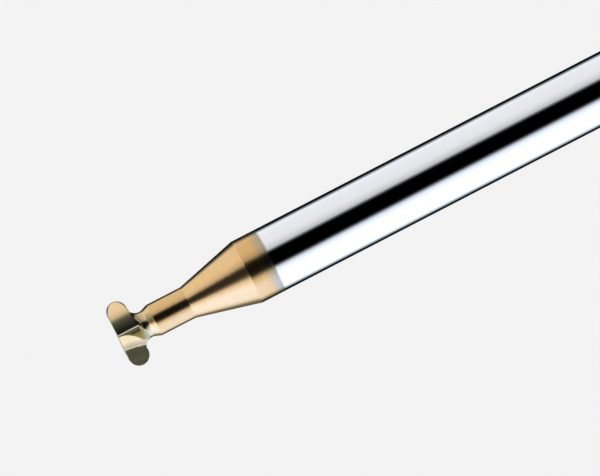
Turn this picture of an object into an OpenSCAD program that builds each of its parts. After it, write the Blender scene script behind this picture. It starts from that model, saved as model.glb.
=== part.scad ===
/* [Shank] */
// Overall length, from the shank's end face to the front of the teeth
overall_l = 60; // [50:1:90]
// Diameter of the straight shank that a collet grips
shank_d = 6; // [4:0.5:10]
// Size of the 45 degree chamfer at the shank's end
shank_chamfer = 0.5; // [0.2:0.1:0.8]

/* [Neck] */
// Diameter of the neck
neck_d = 3; // [2.8:0.1:3.6]
// Reach, from the front of the teeth to the start of the taper
reach = 6.85; // [5.5:0.05:12]
// Half angle of the taper that joins the neck to the shank
taper_angle = 14.5; // [8:0.5:45]
// How far the gold coating runs past the taper onto the shank
coating_overlap = 2.3; // [0.5:0.1:6]

/* [Undercut] */
// Diameter where the undercut is deepest, just behind the head
undercut_d = 2.48; // [2.3:0.02:2.6]
// Radius that blends the undercut into the head
undercut_r = 0.85; // [0.6:0.05:1]
// Slope of the undercut's side towards the neck
undercut_slope = 20; // [12:1:40]

/* [Head] */
// Cutting diameter
head_d = 6.1; // [5.6:0.1:7]
// Full radius of the teeth, half the width of cut
edge_r = 0.95; // [0.8:0.05:1.1]
// How far the head's flat sides lie inside the round edges
side_recess = 0.04; // [0.02:0.01:0.08]

/* [Teeth] */
// Relief angle behind the cutting edge
relief_angle = 11; // [6:1:16]
// Width of the relieved land behind the cutting edge
land_w = 0.2; // [0.1:0.05:0.35]
// Slope of the tooth's back, from the plane of the cutting edges
back_angle = 42; // [36:1:46]
// Slope of the heel, from the plane of the cutting edges
heel_slope = 5; // [0:1:10]
// Height of the heel's edge above the plane of the cutting edges
heel_h = 1.32; // [1.3:0.02:1.44]
// Distance of the heel's edge from the axis, towards the tooth's tip
heel_x = 0.26; // [0.2:0.02:0.34]
// Radius that rounds the tooth's back into its heel
crest_r = 2.6; // [2:0.1:3]

/* [Flutes] */
// Rake angle of the cutting face
rake_angle = 4; // [2:1:8]
// How far each cutting edge lies behind the plane through the axis
edge_offset = 0.03; // [0.02:0.01:0.06]
// Nearest that the root of the flute comes to the axis
root_x = 1.22; // [1.12:0.02:1.28]
// Slope of the flute's wall, from the cutting face
wall_angle = 50; // [47:1:52]
// Slope of the facet that trims the flute's wall, from the plane of the cutting edges
facet_angle = 37; // [35:1:40]
// Width of that facet behind the teeth
facet_w = 2.1; // [2:0.05:2.2]
// Radius of the fillet at the root of the flute
root_fillet = 0.25; // [0.1:0.05:0.4]
// Radius of the wheel that grinds the flute and its run-out
wheel_r = 5.5; // [4.5:0.1:6.5]
// Distance of the wheel's centre behind the front of the teeth
wheel_back = 0.05; // [0.03:0.01:0.3]

/* [Hidden] */
$fn = 96;
teeth = 2;

coating_colour = [0.85, 0.7, 0.45];
carbide_colour = [0.8, 0.81, 0.83];

// Heights along the axis, with the shank's end face at 0
front_z = overall_l;
head_z = front_z - edge_r;
rear_z = head_z - edge_r + side_recess;
taper_z = front_z - reach;
shank_z = taper_z - (shank_d - neck_d) / 2 / tan(taper_angle);
coating_z = shank_z - coating_overlap;

// The blend of the undercut meets the head's rear face at a small angle, and so does its far side
blend_lap = 0.03;
blend_turn = 12;
blend_z = rear_z - undercut_r + blend_lap;
blend_x = undercut_d / 2 + undercut_r;
undercut_x = blend_x - undercut_r * cos(blend_turn);
undercut_z = blend_z - undercut_r * sin(blend_turn);
neck_z = undercut_z - (neck_d / 2 - undercut_x) / tan(undercut_slope);
core_lap = 0.3;

// Each half of the head is turned about its own centre, which gives the edge its relief
head_r = head_d / 2;
offcentre = head_r * tan(relief_angle) - edge_offset;
turned_r = head_r / cos(relief_angle);
rim_x = turned_r - edge_r;
side_h = edge_r - side_recess;

// Outline of the tooth's back, looking down on the front of the teeth
land_y = edge_offset + land_w;
land_end = [sqrt(turned_r ^ 2 - (land_y + offcentre) ^ 2), -land_y];
heel_edge = [heel_x, -heel_h];
back_dir = [cos(back_angle), sin(back_angle)];
heel_dir = [cos(heel_slope), sin(heel_slope)];
heel_run = cross(land_end - heel_edge, back_dir) / cross(heel_dir, back_dir);
heel_corner = heel_edge + heel_run * heel_dir;
crest_run = crest_r * tan((back_angle - heel_slope) / 2);
crest_from = heel_corner - crest_run * heel_dir;
crest_to = heel_corner + crest_run * back_dir;
crest_mid = crest_from + crest_r * [-heel_dir[1], heel_dir[0]];

// The facet on the flute's wall runs out a little behind the head
facet_lap = 0.2;
facet_z = rear_z - facet_lap;

// Cutting shapes reach this far past what they cut
clear = 2 * head_d;

// Half outline of the neck, from the coating's edge to inside the head
module front_outline() {
  difference() {
    polygon([
      [0, coating_z],
      [shank_d / 2, coating_z],
      [shank_d / 2, shank_z],
      [neck_d / 2, taper_z],
      [neck_d / 2, neck_z],
      [undercut_x, undercut_z],
      [blend_x, undercut_z],
      [blend_x, rear_z + core_lap],
      [0, rear_z + core_lap]
    ]);
    translate([blend_x, blend_z]) circle(undercut_r);
  }
}

// Half outline of the bare shank, with its chamfered end
module shank_outline() {
  polygon([
    [0, 0],
    [shank_d / 2 - shank_chamfer, 0],
    [shank_d / 2, shank_chamfer],
    [shank_d / 2, coating_z],
    [0, coating_z]
  ]);
}

// Half outline of the head: round edges on flat, slightly recessed sides
module head_outline() {
  translate([rim_x, 0]) circle(edge_r);
  translate([0, -side_h]) square([rim_x, 2 * side_h]);
}

// Half of the head, which holds one tooth along +X
module head_half() {
  intersection() {
    translate([0, offcentre, head_z]) rotate_extrude() head_outline();
    translate([-clear, -clear, head_z - clear]) cube([2 * clear, clear, 2 * clear]);
  }
}

// Half section of the grinding wheel: a flat side, a rounded corner and a flared rim
module wheel_outline() {
  corner = root_fillet * tan(wall_angle / 2);
  union() {
    polygon([
      [0, 0],
      [wheel_r - corner, 0],
      [wheel_r + corner * cos(wall_angle), corner * sin(wall_angle)],
      [wheel_r + clear / tan(wall_angle), clear],
      [0, clear]
    ]);
    translate([wheel_r - corner, root_fillet]) circle(root_fillet);
  }
}

// One flute: the cutting face of the tooth along -X, and the wall that rises from its root
module flute() {
  translate([-head_r, edge_offset, front_z - wheel_back])
    rotate([0, 0, rake_angle])
      translate([head_r - root_x - wheel_r, 0, 0])
        rotate([90, 0, 0]) rotate_extrude() wheel_outline();
}

// What is ground off the back of the tooth along +X, down to its heel
module tooth_back() {
  translate([0, 0, blend_z])
    linear_extrude(front_z - blend_z + clear)
      difference() {
        polygon([
          heel_edge - clear * heel_dir,
          crest_from,
          crest_to,
          heel_corner + clear * back_dir,
          [2 * clear, -2 * clear],
          [-2 * clear, -2 * clear]
        ]);
        translate(crest_mid) circle(crest_r);
      }
}

// What the facet takes off the flute's wall, up to the straight edge of the heel
module wall_facet() {
  translate([heel_edge[0], heel_edge[1], facet_z])
    rotate([0, 0, -90 - facet_angle])
      rotate([90, 0, 0])
        translate([0, 0, -clear])
          linear_extrude(clear + facet_w)
            polygon([[0, 0], [0, clear], [clear, clear], [clear, -clear]]);
}

// The coated front: taper, neck, undercut and the head with its two teeth
module coated_front() {
  difference() {
    union() {
      rotate_extrude() front_outline();
      for (tooth = [0 : teeth - 1]) rotate(tooth * 360 / teeth) head_half();
    }
    for (tooth = [0 : teeth - 1])
      rotate(tooth * 360 / teeth) {
        flute();
        wall_facet();
        tooth_back();
      }
  }
}

// The cutter is ground from one carbide rod
module cutter() {
  color(coating_colour) coated_front();
  color(carbide_colour) rotate_extrude() shank_outline();
}

cutter();
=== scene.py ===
import bpy
import math
from mathutils import Matrix, Vector


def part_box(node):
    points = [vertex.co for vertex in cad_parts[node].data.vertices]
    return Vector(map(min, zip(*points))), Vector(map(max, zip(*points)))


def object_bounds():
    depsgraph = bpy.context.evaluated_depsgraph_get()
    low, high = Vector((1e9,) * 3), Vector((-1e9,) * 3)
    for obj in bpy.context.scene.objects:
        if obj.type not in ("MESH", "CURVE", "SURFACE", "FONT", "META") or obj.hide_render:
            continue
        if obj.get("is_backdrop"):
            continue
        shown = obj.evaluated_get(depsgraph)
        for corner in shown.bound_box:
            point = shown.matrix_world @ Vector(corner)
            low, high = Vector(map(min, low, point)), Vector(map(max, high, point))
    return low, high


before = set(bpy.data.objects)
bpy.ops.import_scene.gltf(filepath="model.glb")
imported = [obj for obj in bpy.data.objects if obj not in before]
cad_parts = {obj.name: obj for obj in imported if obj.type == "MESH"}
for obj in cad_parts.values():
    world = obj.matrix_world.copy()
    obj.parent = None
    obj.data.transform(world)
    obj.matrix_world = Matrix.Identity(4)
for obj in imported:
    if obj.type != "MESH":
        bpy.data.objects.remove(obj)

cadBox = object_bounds()
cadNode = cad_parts["cutter"]
mm = 0.001
halfTurn = 180  # degrees
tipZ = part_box("cutter")[1][2]  # front of the teeth
print("frame loaded, tip at", round(tipZ, 4))


# camera
view = dict(
    imageSize=(600, 476),
    tipPixel=(118.2, 338.6),  # where the centre of the front shows in the picture
    roll=117.34,              # the tip points down and to the left
    elevation=3.0,            # seen from a little above the level, on the tip's side
    shankPixels=68.6,
    shankSize=6.0 * mm,
    lens=900.0,               # long, so that the shank keeps its width
    sensor=36.0,
    clip=(0.01, 10),
)


def makeCamera():
    pixel = view["shankSize"] / view["shankPixels"]
    width, height = view["imageSize"]
    up0 = math.radians(view["elevation"])
    forward = Vector((0, math.cos(up0), -math.sin(up0)))
    level = Vector((1, 0, 0))
    rise = Vector((0, math.sin(up0), math.cos(up0)))
    turn = math.radians(view["roll"])
    right = math.cos(turn) * level - math.sin(turn) * rise
    up = math.sin(turn) * level + math.cos(turn) * rise
    offX = width / 2 - view["tipPixel"][0]
    offY = view["tipPixel"][1] - height / 2
    centre = Vector((0, 0, tipZ)) + pixel * (offX * right + offY * up)
    distance = pixel * width * view["lens"] / view["sensor"]
    data = bpy.data.cameras.new("camera")
    data.lens = view["lens"]
    data.sensor_width = view["sensor"]
    data.clip_start, data.clip_end = view["clip"]
    cam = bpy.data.objects.new("camera", data)
    bpy.context.scene.collection.objects.link(cam)
    axes = Matrix((right, up, -forward)).transposed().to_4x4()
    cam.matrix_world = Matrix.Translation(centre - forward * distance) @ axes
    bpy.context.scene.camera = cam


makeCamera()
bpy.context.scene.view_settings.view_transform = "Standard"
print("camera placed")


# small helpers for one node tree: add a node, link, calculate, fade a mask in, scale a colour
def newTree(tree):
    tree.nodes.clear()
    link = tree.links.new

    def add(kind, **values):
        node = tree.nodes.new(kind)
        for key, value in values.items():
            setattr(node, key, value)
        return node

    def calc(operation, a, b=None):
        node = add("ShaderNodeMath", operation=operation)
        for i, value in enumerate((a, b)):
            if value is None:
                continue
            if isinstance(value, (int, float)):
                node.inputs[i].default_value = value
            else:
                link(value, node.inputs[i])
        return node.outputs[0]

    def fade(value, low, full):
        node = add("ShaderNodeMapRange", interpolation_type="SMOOTHSTEP")
        link(value, node.inputs["Value"])
        node.inputs["From Min"].default_value = low
        node.inputs["From Max"].default_value = full
        return node.outputs[0]

    def scaled(colour, amount):
        node = add("ShaderNodeVectorMath", operation="SCALE")
        node.inputs[0].default_value = colour
        link(amount, node.inputs["Scale"])
        return node.outputs[0]

    return add, link, calc, fade, scaled


# studio: soft light from both sides of the cutter, with dark in front, and a pale floor and room
studio = dict(
    backdrop=(0.892, 0.892, 0.892, 1),
    # degrees round the axis from the front, then the light's red, green and blue there
    rightStops=[(22, 0.0, 0.0, 0.0), (26, 0.022, 0.024, 0.025), (30, 0.18, 0.185, 0.19),
                (35, 0.60, 0.61, 0.63), (42, 0.70, 0.70, 0.715), (50, 0.83, 0.815, 0.84),
                (62, 0.915, 0.90, 0.93), (100, 0.94, 0.95, 0.98), (120, 0.98, 1.02, 1.06),
                (129, 0.29, 0.32, 0.35), (140, 0.0, 0.0, 0.0), (164, 0.0, 0.0, 0.0),
                (176, 0.45, 0.45, 0.46)],
    leftStops=[(19, 0.0, 0.0, 0.0), (24, 0.05, 0.055, 0.06), (29, 0.42, 0.45, 0.50),
               (35, 0.87, 0.92, 1.02), (41, 0.98, 1.03, 1.18), (48, 1.10, 1.22, 1.64),
               (60, 1.22, 1.46, 2.32), (104, 1.22, 1.49, 2.45), (119, 1.12, 1.29, 1.80),
               (129, 0.57, 0.64, 0.68), (142, 0.0, 0.0, 0.0), (164, 0.0, 0.0, 0.0),
               (176, 0.45, 0.45, 0.46)],
    # degrees above or below the cutter's level, then the gain there
    rightRise=[(-90, 0.35, 0.36, 0.38), (-50, 0.4, 0.42, 0.45), (-20, 0.8, 0.84, 0.9),
               (-7, 1.0, 1.0, 1.0), (4, 1.0, 1.0, 1.0), (18, 1.14, 1.16, 1.22),
               (28, 1.26, 1.28, 1.36), (38, 0.15, 0.15, 0.15), (90, 0.3, 0.3, 0.3)],
    leftRise=[(-90, 0.35, 0.31, 0.2), (-50, 0.4, 0.355, 0.24), (-20, 0.8, 0.77, 0.66),
              (-7, 1.0, 1.0, 1.0), (4, 1.0, 1.0, 1.0), (26, 1.13, 1.18, 1.28),
              (36, 1.42, 1.2, 1.2), (48, 1.42, 1.2, 1.2), (66, 0.4, 0.36, 0.28),
              (90, 0.2, 0.18, 0.14)],
    level=-3.0,               # the height that the stops are true for
    leanRange=(-25, 45),      # heights between which the sides lean
    leftLean=0.28,            # each side closes in towards the front by this for each degree up
    rightLean=0.21,
    # faint light above the front
    topFront=(0.008, 0.008, 0.008), topFrontRise=(2, 22),
    # soft light higher up
    overhead=(0.52, 0.52, 0.46), overheadRise=(34, 44),
    # low light behind on the left, which the edge of the taper catches
    behind=(0.16, 0.18, 0.16), behindTurn=(130, 144), behindRise=(-1, 4), behindTop=(22, 12),
    floorRadius=0.07,
    floorFade=0.02,           # the floor fades out from here to its edge
    floorSides=128,
    floorGlint=0.5,           # how much of the floor the polished shank mirrors
    floorColour=(0.915, 0.878, 0.742, 1),  # warm, which the cool light makes plain
    floorRough=0.8,
    floorShine=0.1,
)


def fillRamp(ramp, stops, middle):
    elements = ramp.color_ramp.elements
    while len(elements) < len(stops):
        elements.new(0.5)
    for element, (degrees, *light) in zip(elements, stops):
        element.position = degrees / halfTurn + middle
        element.color = (*light, 1)


def makeRoom():
    world = bpy.data.worlds.new("room")
    bpy.context.scene.world = world
    world.use_nodes = True
    add, link, calc, fade, scaled = newTree(world.node_tree)

    def within(angle, limits):
        return fade(angle, *(degrees / halfTurn for degrees in studio[limits]))

    # angles are in half turns: round the axis from the front, and up from the horizon
    parts = add("ShaderNodeSeparateXYZ")
    link(add("ShaderNodeTexCoord").outputs["Generated"], parts.inputs[0])
    aside = calc("ABSOLUTE", parts.outputs["X"])
    ahead = calc("MULTIPLY", parts.outputs["Y"], -1.0)
    turn = calc("DIVIDE", calc("ARCTAN2", aside, ahead), math.pi)
    rise = calc("DIVIDE", calc("ARCSINE", parts.outputs["Z"]), math.pi)
    above = add("ShaderNodeMapRange")
    link(rise, above.inputs["Value"])
    for end, degrees in zip(("Min", "Max"), studio["leanRange"]):
        above.inputs["From " + end].default_value = degrees / halfTurn
        above.inputs["To " + end].default_value = (degrees - studio["level"]) / halfTurn

    # the light of each side, by turn and by height
    sides = []
    for side in ("left", "right"):
        closer = calc("MULTIPLY", above.outputs[0], studio[side + "Lean"])
        ramp = add("ShaderNodeValToRGB")
        fillRamp(ramp, studio[side + "Stops"], 0.0)
        link(calc("ADD", turn, closer), ramp.inputs[0])
        gain = add("ShaderNodeValToRGB")
        fillRamp(gain, studio[side + "Rise"], 0.5)
        link(calc("ADD", rise, 0.5), gain.inputs[0])
        lit = add("ShaderNodeVectorMath", operation="MULTIPLY")
        link(ramp.outputs[0], lit.inputs[0])
        link(gain.outputs[0], lit.inputs[1])
        sides.append(lit.outputs[0])
    onRight = calc("GREATER_THAN", parts.outputs["X"], 0.0)
    both = add("ShaderNodeMix", data_type="RGBA")
    link(onRight, both.inputs["Factor"])
    link(sides[0], both.inputs["A"])
    link(sides[1], both.inputs["B"])
    total = both.outputs["Result"]

    # lights that are added to these
    low = calc("MULTIPLY", within(rise, "behindRise"), within(rise, "behindTop"))
    rear = calc("MULTIPLY", within(turn, "behindTurn"), calc("SUBTRACT", 1.0, onRight))
    amounts = dict(topFront=within(rise, "topFrontRise"), overhead=within(rise, "overheadRise"),
                   behind=calc("MULTIPLY", rear, low))
    for name, amount in amounts.items():
        more = add("ShaderNodeVectorMath", operation="ADD")
        link(total, more.inputs[0])
        link(scaled(studio[name], amount), more.inputs[1])
        total = more.outputs[0]

    # the camera sees a plain backdrop
    light = add("ShaderNodeBackground")
    link(total, light.inputs["Color"])
    plain = add("ShaderNodeBackground")
    plain.inputs["Color"].default_value = studio["backdrop"]
    seen = add("ShaderNodeMixShader")
    link(add("ShaderNodeLightPath").outputs["Is Camera Ray"], seen.inputs[0])
    link(light.outputs[0], seen.inputs[1])
    link(plain.outputs[0], seen.inputs[2])
    out = add("ShaderNodeOutputWorld")
    link(seen.outputs[0], out.inputs[0])


def floorMaterial():
    mat = bpy.data.materials.new("floor")
    mat.use_nodes = True
    add, link, calc, fade, _ = newTree(mat.node_tree)
    shader = add("ShaderNodeBsdfPrincipled")
    shader.inputs["Base Color"].default_value = studio["floorColour"]
    shader.inputs["Roughness"].default_value = studio["floorRough"]
    shader.inputs["Specular IOR Level"].default_value = studio["floorShine"]
    away = add("ShaderNodeVectorMath", operation="LENGTH")
    link(add("ShaderNodeTexCoord").outputs["Object"], away.inputs[0])
    fadeOut = fade(away.outputs["Value"], studio["floorRadius"], studio["floorFade"])
    glossy = add("ShaderNodeLightPath").outputs["Is Glossy Ray"]
    less = calc("SUBTRACT", 1.0, calc("MULTIPLY", glossy, 1 - studio["floorGlint"]))
    fromBelow = add("ShaderNodeNewGeometry").outputs["Backfacing"]
    less = calc("MULTIPLY", less, calc("SUBTRACT", 1.0, fromBelow))  # clear from below
    link(calc("MULTIPLY", fadeOut, less), shader.inputs["Alpha"])
    out = add("ShaderNodeOutputMaterial")
    link(shader.outputs[0], out.inputs[0])
    return mat


def makeFloor():
    count = studio["floorSides"]
    radius = studio["floorRadius"]
    verts = [(0, 0, 0)]
    for i in range(count):
        turn = 2 * math.pi * i / count
        verts.append((math.cos(turn) * radius, math.sin(turn) * radius, 0))
    faces = [(0, 1 + i, 1 + (i + 1) % count) for i in range(count)]
    mesh = bpy.data.meshes.new("floor")
    mesh.from_pydata(verts, [], faces)
    mesh.materials.append(floorMaterial())
    floor = bpy.data.objects.new("floor", mesh)
    bpy.context.scene.collection.objects.link(floor)
    floor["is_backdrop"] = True


makeRoom()
makeFloor()
print("studio lit")


# finish: polished carbide with a gold coating on the front end, lengths in mm
# a pair is where a mask starts and where it is full
finish = dict(
    carbide=(0.86, 0.868, 0.885),
    gold=(0.735, 0.484, 0.217),
    rosyGold=(0.72, 0.445, 0.18),      # towards the coating's end
    mauve=(0.51, 0.39, 0.232),         # where the coating fades
    teal=(0.42, 0.375, 0.25),          # its last thin edge
    paleGold=(0.88, 0.65, 0.355),      # on the backs of the teeth
    wallGold=(0.76, 0.535, 0.215),     # on the rest of the head
    undercutShadeGold=(0.65, 0.49, 0.25),       # painted shade, greyer, in the undercut
    groundShadeGold=(0.33, 0.28, 0.125),    # where the flute's wheel touched the undercut, darkened with painted shade near the head
    oliveGold=(0.53, 0.52, 0.29),      # on the cutting faces
    heelGold=(0.54, 0.49, 0.27),       # on the heels
    facetShadeGold=(0.275, 0.198, 0.048),   # painted shade on the ground facet of each flute
    rimHighlightGold=(0.43, 0.34, 0.21),        # painted highlight on that facet's edge at the heel
    runoutShadeGold=(0.40, 0.35, 0.18),     # painted shade where that facet runs out behind the head
    rootShadeGold=(0.56, 0.415, 0.20),      # painted shade in the root of each flute
    # heights where each tone of the coating's end begins or is full, and how unevenly it ends
    coatFrom=44.91, tealAt=45.18, mauveAt=45.6, mauveEnd=45.5, rosyAt=46.2, goldFrom=48.5,
    drift=0.16,
    # heights of the parts of the front end
    undercutAt=(56.5, 56.9), runoutShadeAt=(56.9, 57.2), groundShadeAt=(57.2, 57.65),
    fluteAt=(57.5, 57.8), headAt=(57.8, 58.3),
    groundShadeTurn=(0.0, 0.45),            # x times y, so it lies on the flutes' side
    backAcross=(1.35, 1.6),
    # cutting faces, heels and roots: depth from the middle, and how flat they face the front
    faceDepth=(0.32, 0.22), faceUpright=(0.93, 0.98),
    heelDepth=(0.9, 1.1), heelUpright=(0.93, 0.99),
    heelShadeFade=(0.4, 1.1), heelShadeBase=0.4, heelShadeGain=1.15,   # painted shade: the heel is darker near the axis
    rootShadeDepth=(0.44, 0.24), rootShadeFrom=(0.5, 0.6), rootShadeTo=(0.97, 0.90), rootShadeAcross=(1.7, 1.5),
    # the facet's plane, its rim with a painted highlight, and a dark band of painted shade along it
    facetAngle=37.0, facetDepth=0.898, facetTop=1.002,
    facetNear=(0.05, 0.02), facetFacing=(0.99, 0.997), facetHighlightRim=(0.07, 0.19),
    facetShadeFade=(0.3, 1.5), facetShadeBase=0.4, facetShadeGain=0.8,
    shadeBandFrom=(0.34, 0.5), shadeBandTo=(0.76, 0.58), shadeBandEnd=(59.0, 58.7), shadeBandDark=0.6,
    runoutShadeFacing=(0.67, 0.70),
    # marks left by grinding, each with its noise scale, detail and roughness
    wheelAt=6.7, wheelHeight=59.95,    # centre of the wheel that ground each flute
    driftNoise=(0.9, 3.0, 0.55), cloudNoise=(1.3, 4.0, 0.55), patchNoise=(2.6, 2.0, 0.55),
    ringNoise=(14.0, 4.0, 0.7), ringStretch=0.06,
    arcNoise=(9.0, 4.0, 0.7), arcStretch=0.3,
    streak=0.9, patch=0.8, shankCloud=0.06, coatCloud=0.1, ringLines=0.1,
    markStrength=0.12, markDepth=0.02,
    edgeRound=0.03, edgeSamples=6,
    polish=0.05, coatRough=0.2, headRough=0.2, heelRough=0.3, cutRough=0.42, uneven=0.06,
)


def cutterMaterial():
    mat = bpy.data.materials.new("coated carbide")
    mat.use_nodes = True
    add, link, calc, fade, scaled = newTree(mat.node_tree)

    def within(value, limits):
        return fade(value, *finish[limits])

    def allOf(mask, *others):
        for other in others:
            mask = calc("MULTIPLY", mask, other)
        return mask

    def blend(mask, a, b, kind="RGBA"):
        node = add("ShaderNodeMix", data_type=kind)
        link(mask, node.inputs["Factor"])
        for name, value in (("A", a), ("B", b)):
            if isinstance(value, tuple):
                node.inputs[name].default_value = (*value, 1)
            elif isinstance(value, float):
                node.inputs[name].default_value = value
            else:
                link(value, node.inputs[name])
        return node.outputs["Result"]

    def noise(vector, kind):
        node = add("ShaderNodeTexNoise")
        link(vector, node.inputs["Vector"])
        for name, value in zip(("Scale", "Detail", "Roughness"), finish[kind]):
            node.inputs[name].default_value = value
        return node.outputs["Fac"]

    def sway(value, amount):  # noise about its middle
        return calc("MULTIPLY", calc("SUBTRACT", value, 0.5), amount)

    def dot(vector, direction):
        node = add("ShaderNodeVectorMath", operation="DOT_PRODUCT")
        link(vector, node.inputs[0])
        node.inputs[1].default_value = direction
        return node.outputs["Value"]

    def length(a, b):
        return calc("SQRT", calc("ADD", calc("MULTIPLY", a, a), calc("MULTIPLY", b, b)))

    where = add("ShaderNodeTexCoord")
    normal = where.outputs["Normal"]
    inMm = add("ShaderNodeVectorMath", operation="SCALE")
    link(where.outputs["Object"], inMm.inputs[0])
    inMm.inputs["Scale"].default_value = 1 / mm
    spot = inMm.outputs[0]
    parts = add("ShaderNodeSeparateXYZ")
    link(spot, parts.inputs[0])
    x, y, z = parts.outputs
    across = calc("ABSOLUTE", x)
    depth = calc("ABSOLUTE", y)
    upright = calc("ABSOLUTE", dot(normal, (0, 1, 0)))

    # the coating: gold, rosier and then fading towards the shank
    height = calc("ADD", z, sway(noise(spot, "driftNoise"), finish["drift"]))
    coat = fade(height, finish["coatFrom"], finish["tealAt"])
    colour = blend(coat, finish["carbide"], finish["teal"])
    colour = blend(fade(height, finish["tealAt"], finish["mauveAt"]), colour, finish["mauve"])
    colour = blend(fade(height, finish["mauveEnd"], finish["rosyAt"]), colour, finish["rosyGold"])
    colour = blend(fade(z, finish["rosyAt"], finish["goldFrom"]), colour, finish["gold"])

    # the undercut, greyer as painted shade, and darker where the wheel ground it, with painted shade
    # near the head
    colour = blend(within(z, "undercutAt"), colour, finish["undercutShadeGold"])
    ground = allOf(within(z, "groundShadeAt"), within(calc("MULTIPLY", x, y), "groundShadeTurn"))
    colour = blend(ground, colour, finish["groundShadeGold"])

    # the head: pale backs and olive cutting faces
    head = within(z, "headAt")
    back = blend(within(across, "backAcross"), finish["wallGold"], finish["paleGold"])
    colour = blend(head, colour, back)
    cutFace = allOf(within(depth, "faceDepth"), within(upright, "faceUpright"), head)
    colour = blend(cutFace, colour, finish["oliveGold"])

    # the ground facet of each flute, with painted shade, a painted highlight on its rim, a painted dark
    # band, and its run-out
    lean = math.radians(finish["facetAngle"])
    outward = (math.sin(lean), math.cos(lean), 0)
    off = dot(spot, outward)
    fromPlane = calc("ABSOLUTE", calc("SUBTRACT", calc("ABSOLUTE", off), finish["facetDepth"]))
    facing = calc("ABSOLUTE", dot(normal, outward))
    facet = allOf(within(fromPlane, "facetNear"), within(facing, "facetFacing"), within(z, "fluteAt"))
    colour = blend(facet, colour, finish["rimHighlightGold"])
    slide = calc("MULTIPLY", dot(spot, (math.cos(lean), -math.sin(lean), 0)), calc("SIGN", off))
    fromHeel = calc("ADD", slide, finish["facetTop"])
    facet = allOf(facet, within(fromHeel, "facetHighlightRim"))
    shadeBand = allOf(within(fromHeel, "shadeBandFrom"), within(fromHeel, "shadeBandTo"), within(z, "shadeBandEnd"))
    shade = calc("MULTIPLY", within(fromHeel, "facetShadeFade"), finish["facetShadeGain"])
    shade = calc("ADD", shade, finish["facetShadeBase"])
    outsideShadeBand = calc("SUBTRACT", 1.0, calc("MULTIPLY", shadeBand, finish["shadeBandDark"]))
    shade = calc("MULTIPLY", shade, outsideShadeBand)
    colour = blend(facet, colour, scaled(finish["facetShadeGold"], shade))
    # painted shade where the facet runs out behind the head
    risen = dot(normal, (0, 0, 1))
    runoutShade = allOf(within(facing, "runoutShadeFacing"), within(risen, "runoutShadeFacing"), within(z, "runoutShadeAt"))
    colour = blend(runoutShade, colour, finish["runoutShadeGold"])

    # the root of each flute, greyer as painted shade, and the heels
    root = allOf(within(upright, "rootShadeFrom"), within(upright, "rootShadeTo"), within(depth, "rootShadeDepth"),
                 within(z, "fluteAt"), within(across, "rootShadeAcross"))
    colour = blend(root, colour, finish["rootShadeGold"])
    heel = allOf(within(upright, "heelUpright"), within(depth, "heelDepth"), head)
    # painted shade on the heels, darker near the axis
    shade = calc("MULTIPLY", within(across, "heelShadeFade"), finish["heelShadeGain"])
    shade = calc("ADD", shade, finish["heelShadeBase"])
    colour = blend(heel, colour, scaled(finish["heelGold"], shade))

    # fine marks left by grinding: rings on the round parts, arcs of the wheel on the teeth
    rings = add("ShaderNodeCombineXYZ")
    link(calc("MULTIPLY", x, finish["ringStretch"]), rings.inputs[0])
    link(calc("MULTIPLY", y, finish["ringStretch"]), rings.inputs[1])
    link(calc("ADD", z, length(x, y)), rings.inputs[2])
    ringMarks = noise(rings.outputs[0], "ringNoise")
    arcs = add("ShaderNodeCombineXYZ")
    fromWheel = length(calc("SUBTRACT", across, finish["wheelAt"]),
                       calc("SUBTRACT", z, finish["wheelHeight"]))
    link(fromWheel, arcs.inputs[0])
    link(calc("MULTIPLY", y, finish["arcStretch"]), arcs.inputs[1])
    arcMarks = noise(arcs.outputs[0], "arcNoise")
    marks = blend(head, ringMarks, arcMarks, "FLOAT")

    # the marks and faint clouds mottle the colour
    cut = calc("MAXIMUM", cutFace, facet)
    streaks = sway(arcMarks, calc("MULTIPLY", cut, finish["streak"]))
    patchNoise = noise(arcs.outputs[0], "patchNoise")
    patches = sway(patchNoise, calc("MULTIPLY", cutFace, finish["patch"]))
    cloudy = calc("ADD", calc("MULTIPLY", coat, finish["coatCloud"]), finish["shankCloud"])
    cloud = sway(noise(spot, "cloudNoise"), cloudy)
    lines = sway(ringMarks, calc("MULTIPLY", calc("SUBTRACT", 1.0, head), finish["ringLines"]))
    change = calc("ADD", calc("ADD", streaks, patches), calc("ADD", cloud, lines))
    mottle = add("ShaderNodeMix", data_type="RGBA", blend_type="MULTIPLY")
    mottle.inputs["Factor"].default_value = 1.0
    link(colour, mottle.inputs["A"])
    link(calc("ADD", change, 1.0), mottle.inputs["B"])

    # edges are shaded a little round
    bump = add("ShaderNodeBump")
    bump.inputs["Strength"].default_value = finish["markStrength"]
    bump.inputs["Distance"].default_value = finish["markDepth"] * mm
    link(marks, bump.inputs["Height"])
    edges = add("ShaderNodeBevel", samples=finish["edgeSamples"])
    edges.inputs["Radius"].default_value = finish["edgeRound"] * mm
    link(edges.outputs[0], bump.inputs["Normal"])

    # roughness: polished shank, satin coating, coarser heels and cutting faces
    rough = finish["polish"]
    for mask, kind in ((coat, "coatRough"), (head, "headRough"), (heel, "heelRough"),
                       (cutFace, "cutRough"), (facet, "cutRough")):
        rough = blend(mask, rough, finish[kind], "FLOAT")
    rough = calc("ADD", rough, sway(marks, finish["uneven"]))

    shader = add("ShaderNodeBsdfPrincipled")
    shader.inputs["Metallic"].default_value = 1.0
    link(mottle.outputs["Result"], shader.inputs["Base Color"])
    link(rough, shader.inputs["Roughness"])
    link(bump.outputs[0], shader.inputs["Normal"])
    out = add("ShaderNodeOutputMaterial")
    link(shader.outputs[0], out.inputs[0])
    return mat


cadNode.data.materials.clear()
cadNode.data.materials.append(cutterMaterial())
print("cutter finished")

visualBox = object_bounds()
[[list(corner) for corner in box] for box in (cadBox, visualBox)]
